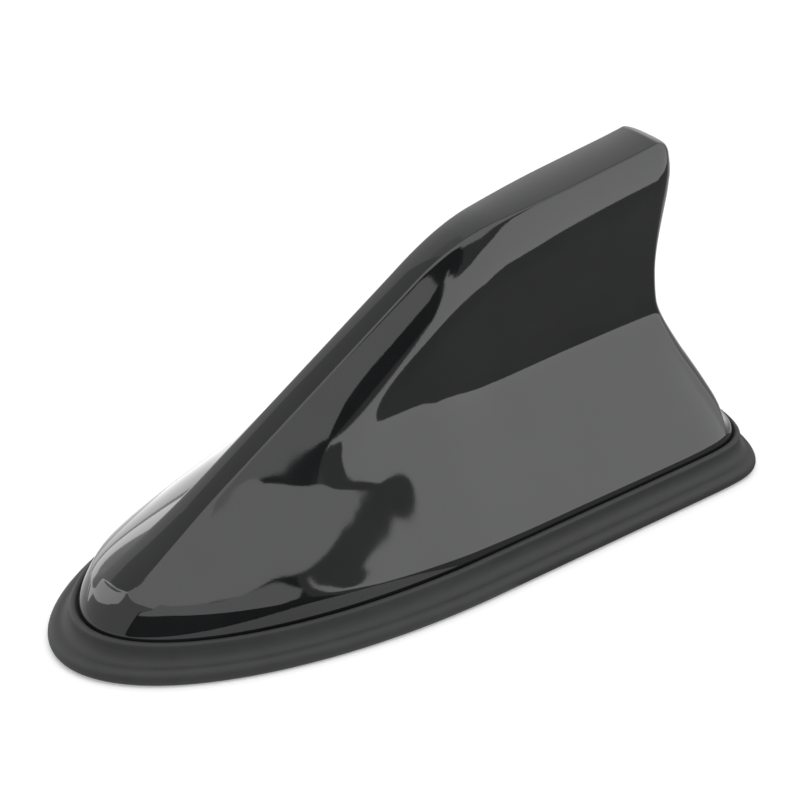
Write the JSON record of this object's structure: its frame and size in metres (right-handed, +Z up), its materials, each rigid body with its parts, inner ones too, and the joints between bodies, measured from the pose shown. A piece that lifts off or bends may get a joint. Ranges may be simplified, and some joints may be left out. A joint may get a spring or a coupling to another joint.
{
  "type": "shark fin roof aerial",
  "caption": "Fin-shaped vehicle roof aerial with a smooth moulded cover, a rubber seal round its foot, and a hollow neck below that clamps it to the roof and passes its cables.",
  "frame": {"origin": "on the axis of the mounting neck, in the roof plane that the gasket and the neck's collar rest on", "axes": "+X from the nose to the tail of the fin, +Y across it, +Z up out of the roof; the neck runs down along -Z"},
  "size_m": [0.165, 0.0716, 0.0883],
  "materials": {
    "gloss_black": "piano-black gloss moulding",
    "seal_rubber": "matt moulded black rubber",
    "cast_alloy": "die-cast alloy, as cast",
    "seal_foam": "closed-cell foam",
    "plated_steel": "plated steel",
    "board_green": "coated glass-fibre board",
    "pad_white": "adhesive pad",
    "patch_ceramic": "fired ceramic",
    "silvered": "silvered film",
    "brass_part": "bright brass",
    "chip_black": "moulded chip body",
    "holder_plastic": "natural moulded plastic",
    "copper_wire": "enamelled copper wire"
  },
  "bodies": {
    "root": {"cover": "gloss_black", "gasket": "seal_rubber", "base_plate": "cast_alloy", "neck_seal": "seal_foam", "cable_grommet": "seal_rubber", "cover_screws": "plated_steel", "main_board": "board_green", "board_screws": "plated_steel", "gps_pad": "pad_white", "gps_patch": "patch_ceramic", "gps_electrode": "silvered", "gps_feed_pin": "brass_part", "shield_can": "plated_steel", "can_lid": "plated_steel", "tuner_chip": "chip_black", "phone_element": "brass_part", "mast_holder": "holder_plastic", "mast_board": "board_green", "top_plate": "plated_steel", "coil_former": "holder_plastic", "loading_coil": "copper_wire", "foam_pads": "seal_foam", "coax_sockets": "brass_part", "earth_springs": "brass_part"}
  },
  "joints": []
}
